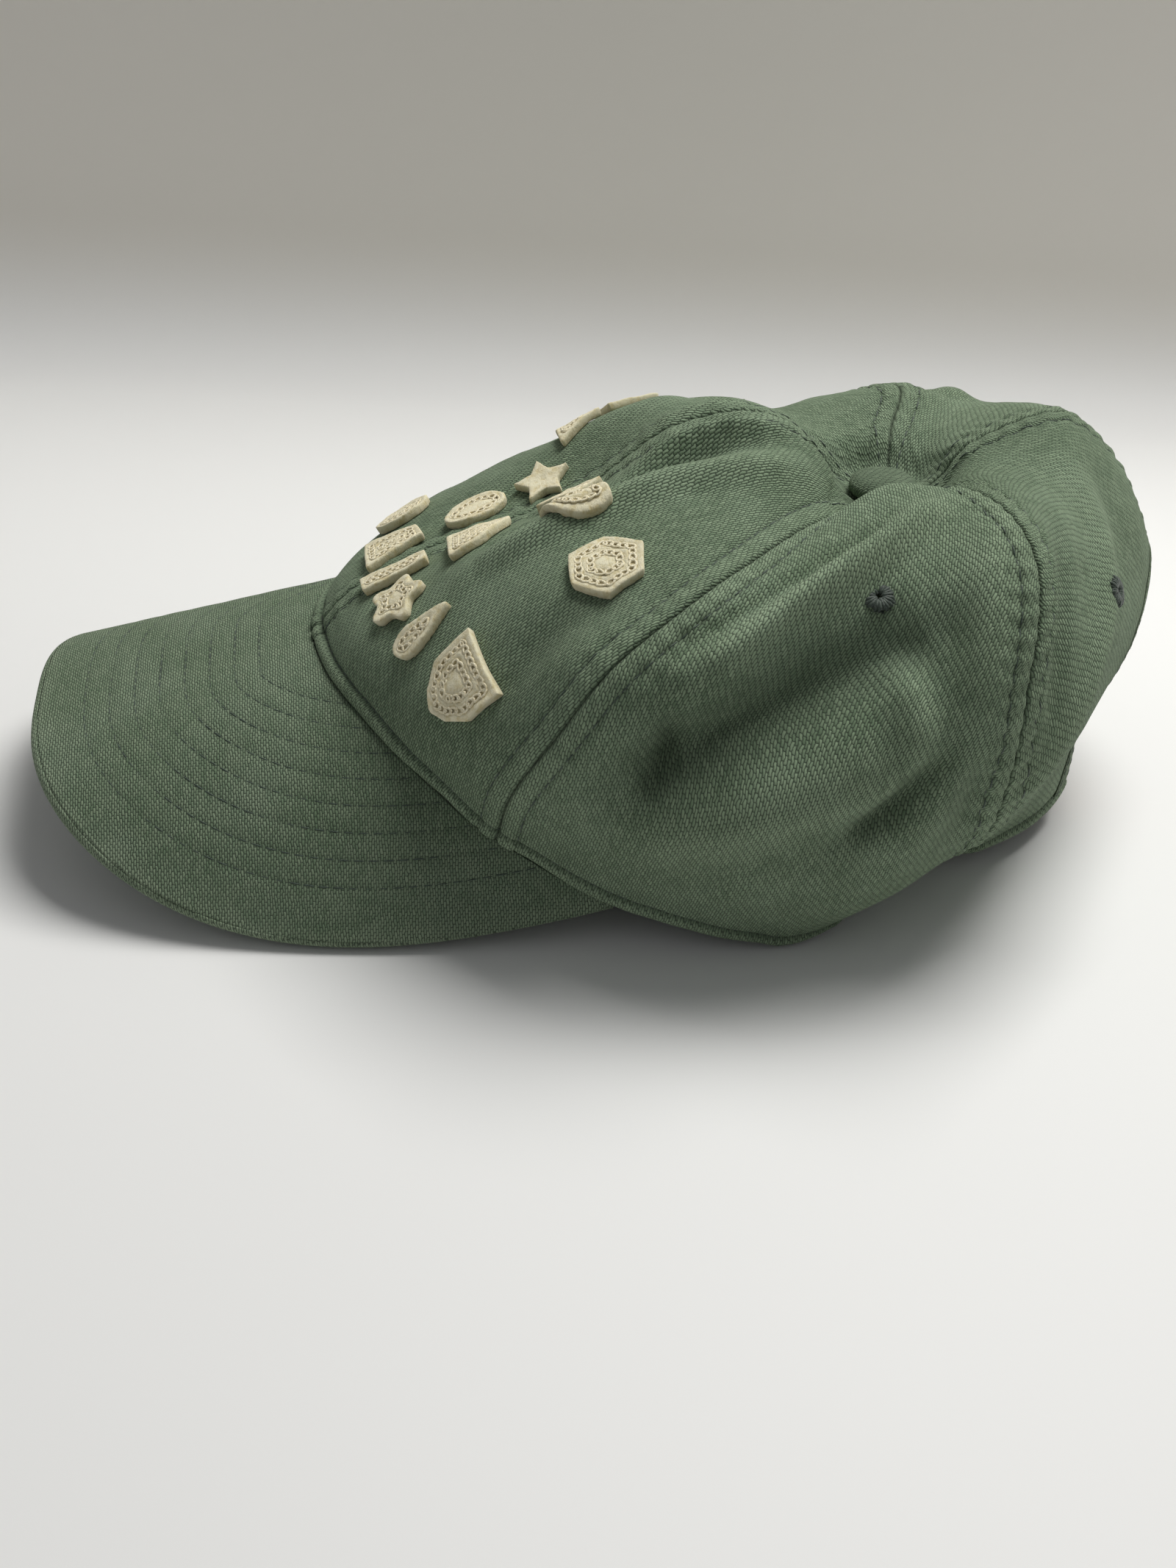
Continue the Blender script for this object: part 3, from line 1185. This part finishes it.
def build_button():
    """A cloth-covered button: a flattened dome whose cloth is drawn in underneath."""
    tall, cloth = 4.6, 0.7
    base = BUTTON_SEAT + 1.1
    profile = [(3.7, 0.05), (6.6, 0.0), (7.7, 0.35), (8.15, 1.0), (8.2, 1.7), (7.9, 2.7), (7.1, 3.6),
               (5.8, 4.2), (3.9, 4.52), (2.0, 4.6), (0.02, 4.62)]
    count = 96
    fine = spline(np.array(profile, float), np.linspace(0, len(profile) - 1, 45))
    walked = walk(fine)
    turn = np.linspace(0, 2 * math.pi, count + 1)[:-1]
    random = np.random.default_rng(SEED)
    phase = random.uniform(0, 6, 3)
    pleat = sum(np.sin(turn * k + f) for k, f in zip((9, 13, 17), phase)) / 3
    outer, inner, uv = [], [], []
    for (r, z), run in zip(fine, walked):
        drawn_in = bell(z - 0.8, 1.3) * 0.16
        ring = r + drawn_in * pleat
        x, y = ring * np.cos(turn), ring * np.sin(turn)
        dent = 0.18 * np.sin(x / 3.1 + 1.0) * np.cos(y / 2.7)
        outer.append(np.stack([x, BUTTON_Y + y, base + z + dent * (z > 3)], -1))
        shrink = max(r - cloth, 0.0) / max(r, 1e-3)
        inner.append(np.stack([x * shrink, BUTTON_Y + y * shrink,
                               np.full(count, base + max(z - cloth, 0.1))], -1))
        reach = walked[-1] - run
        uv.append(np.stack([reach * np.cos(turn), reach * np.sin(turn)], -1))
    points = np.concatenate([np.array(outer).reshape(-1, 3), np.array(inner).reshape(-1, 3)])
    rows, faces = len(fine), []
    total = rows * count
    for j in range(rows - 1):
        for i in range(count):
            a, b = j * count + i, j * count + (i + 1) % count
            faces.append((a, b, b + count, a + count))
            faces.append((total + a, total + a + count, total + b + count, total + b))
    for i in range(count):
        after = (i + 1) % count
        faces.append((i, total + i, total + after, after))
    faces.append(tuple(range((rows - 1) * count, rows * count)))
    faces.append(tuple(range(total + (rows - 1) * count, total + rows * count))[::-1])
    uv = np.concatenate([np.array(uv).reshape(-1, 2)] * 2)
    wear = np.concatenate([np.clip((points[:total, 2] - base) / tall, 0, 1) * 0.15,
                           np.zeros(total)])
    make_piece("button_cloth", points, faces, CANVAS, uv=uv, replaces=["button_cover"],
               wear=wear, deep=np.full(2 * total, 0.5))


build_button()

# ---------------------------------------------------------------- back opening and closure

STRAP_LOW, STRAP_WIDE = 8.0, 19.0
STRAP_RADIUS, STRAP_THICK = 48.4, 1.4
STRAP_START, STRAP_STOP = 30.0, 146.0
TAB_RADIUS, TAB_THICK, TAB_LENGTH, TAB_MARGIN = 50.0, 1.2, 18.0, 0.4
STRAP_SEAM = 2.2
BINDING_REACHES = (0.0, 2.0, 4.0, 7.0)


def arch_path(grown, count=60):
    """The back opening's outline in x and z, grown outwards; up the left side and over."""
    half, top = OPENING_HALF_WIDTH + grown, OPENING_HEIGHT + grown
    rise = top - half * ARCH_FLATNESS
    sag = top - rise
    radius = (half * half + sag * sag) / (2 * sag)
    reach = math.asin(half / radius)
    angle = np.linspace(reach, -reach, count)
    over = np.stack([radius * np.sin(angle), top - radius + radius * np.cos(angle)], -1)
    climb = np.linspace(-3.0, rise, 30)[:-1]
    left = np.stack([np.full(29, half), climb], -1)
    right = np.stack([np.full(29, -half), climb[::-1]], -1)
    return np.concatenate([left, over, right])


def cut_away(piece, cutter):
    """Takes the cutter's shape out of a piece and makes the result its plain mesh."""
    modifier = piece.modifiers.new("cut", "BOOLEAN")
    modifier.operation = "DIFFERENCE"
    modifier.solver = "EXACT"
    modifier.object = cutter
    made = plain_mesh(piece)
    piece.modifiers.clear()
    piece.data = made
    bpy.data.objects.remove(cutter)


def open_panels():
    """Cuts the arch out of the back panels and a hole for each eyelet."""
    for index in (2, 3):
        outline = arch_path(0.0)
        outline = np.concatenate([outline, [(-OPENING_HALF_WIDTH, -20), (OPENING_HALF_WIDTH, -20)]])
        loop = np.stack([outline[:, 0], np.full(len(outline), BACK_Y), outline[:, 1]], -1)
        cut_away(PANEL_GRIDS[index]["piece"], prism("arch", loop, np.array([0, 90.0, 0])))
    for _, line, height in EYELETS:
        spot, out, rays = eyelet_seat(line, height)
        ring = spot + out * 3 + EYELET_HOLE * rays(np.arange(14) / 14 * 2 * math.pi)
        cut_away(PANEL_GRIDS[int(line) // 2]["piece"], prism("bore", ring, out * -7.0))


open_panels()


def back_surface():
    """The folded cloth of the back, for rays to meet."""
    lines = np.linspace(3.6, 8.4, 241)
    heights = np.linspace(0, 4.6, 171)
    points, _ = draped(lines[:, None], heights)
    faces = grid_faces(len(lines), len(heights))
    return BVHTree.FromPolygons([tuple(p) for p in points.reshape(-1, 3)],
                                [tuple(int(i) for i in f) for f in faces])


BACK = back_surface()


def on_back(x, z):
    """Where a level line from inside the cap meets the back wall, and the wall's facing."""
    spot, normal, _, _ = BACK.ray_cast(Vector((x, BACK_Y, z)), Vector((0, 1, 0)))
    if spot is None:
        return None
    return np.array(spot), np.array(normal) * (1 if normal.y > 0 else -1)


def strip_mesh(name, sections, walked, material, body="cap", slot="canvas", replaces=()):
    """A closed strip: each section is a loop of points; the strip runs along axis 0."""
    count, around = sections.shape[:2]
    points = sections.reshape(-1, 3)
    across = walk(sections[0])
    uv = np.stack([np.broadcast_to(across, (count, around)),
                   np.broadcast_to(np.asarray(walked)[:, None], (count, around))], -1)
    piece = make_piece(name, points, tube_faces(count, around), material, body, slot, replaces,
                       uv.reshape(-1, 2), wear=np.full(len(points), 0.25),
                       deep=np.zeros(len(points)))
    return outward(piece)


def build_binding():
    """The bias strip folded over the edge of the back opening."""
    # how far out from the edge, and how deep below the cloth's face, round the strip's section
    section = [(6.6, -0.15), (6.2, -0.45), (3.5, -0.5), (1.2, -0.55), (-0.2, -0.45), (-0.8, 0.2),
               (-0.8, 1.1), (-0.2, 1.8), (1.2, 1.95), (4.5, 2.0), (6.8, 1.95), (6.9, 1.6),
               (4.0, 1.35), (1.0, 1.3), (0.15, 1.1), (0.15, 0.1), (1.0, -0.05), (3.5, -0.02)]
    inner = arch_path(0.0)
    outs = [arch_path(grown) for grown in BINDING_REACHES]
    sections, facing, kept = [], [], []
    for k in range(len(inner)):
        hits = [on_back(*out[k]) for out in outs]
        if any(hit is None for hit in hits):
            continue
        spots = np.array([hit[0] for hit in hits])
        normal = unit(sum(hit[1] for hit in hits))
        outside = []
        for grown, deep in section:
            if grown >= 0:
                spot = np.array([np.interp(grown, BINDING_REACHES, spots[:, axis])
                                 for axis in range(3)])
            else:
                spot = spots[0] - unit(spots[1] - spots[0]) * -grown
            outside.append(spot - normal * deep)
        sections.append(outside)
        facing.append(normal)
        kept.append(spots)
    sections, facing, kept = np.array(sections), np.array(facing), np.array(kept)
    middle = sections.mean(axis=1)
    strip_mesh("opening_binding", sections, walk(middle), TAPE_CLOTH, slot="seam_tape",
               replaces=["back_opening_binding"])
    rows = []
    for part in (0.08, 0.80):
        path = kept[:, 0] * (1 - part) + kept[:, 3] * part
        rows.append(row(path + facing * 0.5, facing, THREAD_PITCH))
        rows.append(row(path - facing * 2.0, -facing, THREAD_PITCH))
    return rows


def curved_band(name, radius, thick, start, stop, low, high, body, replaces):
    """A cloth band bent round the back's upright axis, with rounded edges."""
    count = int((stop - start) / 0.8)
    angle = np.radians(np.linspace(start, stop, count))
    soft = thick * 0.45
    section = [(low, -thick + soft), (low + soft * 0.3, -soft * 0.3), (low + soft, 0.0)]
    fill = np.linspace(low + soft, high - soft, 26)[1:-1]
    section += [(z, 0.0) for z in fill]
    section += [(high - soft, 0.0), (high - soft * 0.3, -soft * 0.3), (high, -thick + soft)]
    section += [(high - soft * 0.3, -thick + soft * 0.3), (high - soft, -thick)]
    section += [(z, -thick) for z in fill[::-1]]
    section += [(low + soft, -thick), (low + soft * 0.3, -thick + soft * 0.3)]
    section = np.array(section)
    sections = np.empty((count, len(section), 3))
    for k, a in enumerate(angle):
        edge = np.minimum(section[:, 0] - low, high - section[:, 0])
        dip = 0.10 * bell(edge - STRAP_SEAM, 0.6) * np.sign(section[:, 1] + thick / 2)
        r = radius + section[:, 1] - dip
        sections[k] = np.stack([r * np.cos(a), BACK_Y + r * np.sin(a), section[:, 0]], -1)
    strip_mesh(name, sections, angle * radius, CANVAS, body, "canvas", replaces)
    rows = []
    for z in (low + STRAP_SEAM, high - STRAP_SEAM):
        for r, way in ((radius - PROUD, 1.0), (radius - thick + PROUD, -1.0)):
            path = np.stack([r * np.cos(angle), BACK_Y + r * np.sin(angle),
                             np.full(count, z)], -1)
            out = np.stack([np.cos(angle), np.sin(angle), 0 * angle], -1) * way
            rows.append(row(path, out, THREAD_PITCH, skip=2.0))
    return rows


def build_closure():
    """The adjusting strap, which moves, and the short tab that holds the buckle."""
    top = STRAP_LOW + STRAP_WIDE
    strap_rows = curved_band("adjusting_strap_cloth", STRAP_RADIUS, STRAP_THICK, STRAP_START,
                             STRAP_STOP, STRAP_LOW, top, "strap", ["adjusting_strap"])
    sew("strap_stitching", strap_rows, SEWING_THREAD, THREAD_SIZE, "strap")
    edge = math.degrees(math.acos(OPENING_HALF_WIDTH / BACK_RADIUS))
    sweep = math.degrees(TAB_LENGTH / BACK_RADIUS)
    return curved_band("buckle_tab_cloth", TAB_RADIUS, TAB_THICK, edge - sweep, edge,
                       STRAP_LOW + TAB_MARGIN, top - TAB_MARGIN, "cap", ["buckle_tab"])


# ---------------------------------------------------------------- inside the crown

TAPE_DEPTH, TAPE_THICK, TAPE_HALF = 1.65, 0.5, 6.0
TAPE_SAMPLES, TAPE_ROWS, TAPE_SEAM = 700, 110, 4.6
TAPE_BUTTON_GAP, BACK_TAPE_FOOT = 15.0, 64.3
BAND_DEPTH_FRONT, BAND_DEPTH_BACK, BAND_THICK = 2.45, 5.9, 0.9
BAND_END = 4.78
BAND_SEAMS = (4.2, 27.2)
LABEL_LINE, LABEL_WIDTH, LABEL_LOW, LABEL_HIGH = 3.9, 26.0, 8.0, 22.0


def slab_grid(outer, inner, across, along, name, material, slot, replaces):
    """A flat piece inside the crown, from the grids of its two faces."""
    uv = np.stack(np.broadcast_arrays(across, along), -1)
    return outward(cloth_piece(name, outer, inner, uv, material, slot=slot, replaces=replaces,
                               wear=np.full(outer.shape[:2], 0.2)))


def build_tapes():
    """The tapes that cover the seams inside, from the rim up to near the button."""
    rows = []
    names = ["front", "front_left", "back_left", "back", "back_right", "front_right"]
    for index, name in enumerate(names):
        line = index * 2.0
        heights = np.linspace(0.06, TOP, TAPE_SAMPLES)
        spine = crown(line, heights)
        good = button_distance(spine) >= TAPE_BUTTON_GAP
        if name == "back":
            good &= spine[:, 2] > BACK_TAPE_FOOT
        heights = heights[good][:: max(1, good.sum() // TAPE_ROWS)]
        pace = np.linalg.norm(crown(line + STEP, heights) - crown(line - STEP, heights),
                              axis=-1) / (2 * STEP)
        across = np.linspace(-TAPE_HALF, TAPE_HALF, 13)
        at_line = line + across[:, None] / pace[None, :]
        ridge = 0.25 * bell(np.abs(across) - TAPE_SEAM, 0.8)[:, None]
        outer, normal = draped(at_line, heights, -TAPE_DEPTH)
        inner, _ = draped(at_line, heights, -TAPE_DEPTH - TAPE_THICK + ridge)
        slab_grid(outer, inner, across[:, None], walk(outer[6]), name + "_tape_cloth",
                  TAPE_CLOTH, "seam_tape", [name + "_seam_tape"])
        for column in (1, -2):
            rows.append(row(inner[column], -normal[column], THREAD_PITCH, skip=1.0))
    return rows


def band_place(lines, rises, inward):
    """The sweatband lies on the crown in front and stands upright from the rim behind."""
    near = np.minimum(lines % LINES, LINES - lines % LINES)
    stand = ease(2.4, 3.5, near)[:, None, None]
    depth = BAND_DEPTH_FRONT + (BAND_DEPTH_BACK - BAND_DEPTH_FRONT) * stand + inward
    heights = np.linspace(0, 3.5, 141)
    walked = walk(crown(lines[:, None], heights))
    height = np.array([np.interp(rises, w, heights) for w in walked])
    at = lines[:, None]
    normal = crown_normal(at, height)
    lying = crown(at, height) - normal * depth
    foot = crown(lines, 0.0)[:, None, :]
    run = unit(rim_xy(lines + STEP) - rim_xy(lines - STEP))
    inside = np.stack([-run[:, 1], run[:, 0], 0 * lines], -1)[:, None, :]
    upright = foot + inside * depth + np.array([0, 0, 1.0]) * rises[None, :, None]
    spot = lying * (1 - stand) + upright * stand
    return spot, unit(-normal * (1 - stand) + inside * stand)


def build_sweatband():
    """The twill band round the inside of the rim, turned over along its upper edge."""
    lines = np.linspace(-BAND_END, BAND_END, 420)
    rises = np.concatenate([np.linspace(1.5, 6, 10), np.linspace(7.5, 25, 14),
                            np.linspace(26, 30, 9)])
    outer, facing = band_place(lines, rises, 0.0)
    inner, _ = band_place(lines, rises, BAND_THICK)
    puff = 0.25 * bell(rises - BAND_SEAMS[0], 0.6) + 0.2 * bell(rises - BAND_SEAMS[1], 0.5)
    inner = inner - facing * puff[None, :, None]
    slab_grid(outer, inner, rises, walk(outer[:, 0])[:, None], "sweatband_cloth", BAND_CLOTH,
              "sweatband", ["sweatband"])
    rows = []
    for rise in BAND_SEAMS:
        nearest = int(np.argmin(np.abs(rises - rise)))
        rows.append(row(inner[:, nearest], facing[:, nearest], THREAD_PITCH, skip=2.0, lift=PROUD))
    return rows


def build_label():
    """The satin label sewn to the sweatband at the wearer's left."""
    pace = 2 * np.linalg.norm(crown(3.95, 0.0) - crown(3.85, 0.0)) / 0.2
    half = LABEL_WIDTH / pace / 2
    lines = np.linspace(LABEL_LINE - half, LABEL_LINE + half, 40)
    rises = np.linspace(LABEL_LOW, LABEL_HIGH, 24)
    outer, _ = band_place(lines, rises, BAND_THICK + 0.15)
    inner, facing = band_place(lines, rises, BAND_THICK + 0.55)
    slab_grid(outer, inner, rises, np.linspace(0, LABEL_WIDTH, 40)[:, None], "care_label_satin",
              LABEL_SATIN, "label_satin", ["care_label"])
    rows = []
    for column in (2, -3):
        rows.append(row(inner[column], facing[column], 2.4, skip=0.8, lift=0.02))
    return rows


inside_rows = build_binding() + build_closure() + build_tapes() + build_sweatband() + build_label()
sew("inside_stitching", inside_rows, SEWING_THREAD, THREAD_SIZE)

# ---------------------------------------------------------------- pieces kept from the model

for node, material in (("buckle_frame", BRASS), ("buckle_pin", BRASS), ("buckle_lever", BRASS),
                       ("button_core", STEEL), ("button_rivet", STEEL), ("button_washer", STEEL),
                       ("visor_board", BOARD)):
    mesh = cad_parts[node].data
    mesh.materials.clear()
    mesh.materials.append(material)

# ---------------------------------------------------------------- stage, light, camera


def build_stage():
    """A pale table that bends up into a low wall behind the cap."""
    reach, depth, bend, wall = 6.0, 0.22, 0.05, 0.28
    away = Vector((-math.sin(VIEW_AZIMUTH), math.cos(VIEW_AZIMUTH), 0))
    side = Vector((math.cos(VIEW_AZIMUTH), math.sin(VIEW_AZIMUTH), 0))
    profile = [(-reach, 0.0), (depth, 0.0)]
    for step in range(1, 13):
        angle = step / 12 * math.pi / 2
        profile.append((depth + bend * math.sin(angle), bend * (1 - math.cos(angle))))
    profile.append((depth + bend, wall))
    points = []
    for far, up in profile:
        for way in (-reach, reach):
            spot = away * far + side * way
            points.append((spot.x, spot.y, up))
    faces = [(2 * i, 2 * i + 1, 2 * i + 3, 2 * i + 2) for i in range(len(profile) - 1)]
    floor = new_mesh("floor", points, faces)
    floor.polygons.foreach_set("use_smooth", [True] * len(faces))
    material, tree, place = new_material("pale_tabletop")
    height = add(tree, "ShaderNodeSeparateXYZ", [place]).outputs[2]
    part = add(tree, RANGE, [height, 0.0, bend], interpolation_type="SMOOTHSTEP")
    tone = add(tree, MIX, {0: part, 6: "#f2f2f1", 7: "#e6e2da"}, data_type="RGBA").outputs[2]
    add(tree, OUTPUT, [add(tree, SHADER, {"Base Color": tone, "Roughness": 0.6})])
    floor.materials.append(material)
    new_object("floor", floor)


def area_light(name, place, target, size, power, colour):
    light = bpy.data.lights.new(name, "AREA")
    light.shape = "RECTANGLE"
    light.size, light.size_y = size
    light.energy = power
    light.color = linear(colour)[:3]
    lamp = new_object(name, light)
    lamp.location = place
    lamp.rotation_euler = (Vector(target) - Vector(place)).to_track_quat("-Z", "Y").to_euler()


def build_lights():
    """A broad soft panel overhead, a faint window in front, and a pale room all round."""
    area_light("ceiling_panel", (-0.26, 0.34, 1.0), (0, 0, 0.03), (0.55, 0.65), 11.3, "#fffefb")
    area_light("window", (0.5, -0.9, 0.9), (0, -0.05, 0.03), (0.8, 0.5), 0.25, "#f2f6ff")
    world = bpy.data.worlds.new("pale_room")
    bpy.context.scene.world = world
    world.use_nodes = True
    world.node_tree.nodes["Background"].inputs[0].default_value = linear("#f0f1f2")
    world.node_tree.nodes["Background"].inputs[1].default_value = 0.21
    bpy.context.scene.view_settings.view_transform = "Standard"


def build_camera():
    """Eye at the height of someone looking down on the cap from the wearer's left."""
    elevation, roll = math.radians(34.6), math.radians(3.1)
    distance, aim = 0.3979, Vector((0.0512, -0.0382, 0.030))
    back = Vector((math.sin(VIEW_AZIMUTH) * math.cos(elevation),
                   -math.cos(VIEW_AZIMUTH) * math.cos(elevation), math.sin(elevation)))
    right = Vector((math.cos(VIEW_AZIMUTH), math.sin(VIEW_AZIMUTH), 0))
    up = back.cross(right)
    turned_right = right * math.cos(roll) + up * math.sin(roll)
    turned_up = up * math.cos(roll) - right * math.sin(roll)
    data = bpy.data.cameras.new("camera")
    data.sensor_width = 36.0
    data.lens = 40.506329
    data.clip_start = 0.01
    camera = new_object("camera", data)
    turn = Matrix((turned_right, turned_up, back)).transposed().to_4x4()
    camera.matrix_world = Matrix.Translation(aim + back * distance) @ turn
    bpy.context.scene.camera = camera


for shape in (STITCH, CHAIN):
    bpy.data.objects.remove(shape)
build_stage()
build_lights()
build_camera()
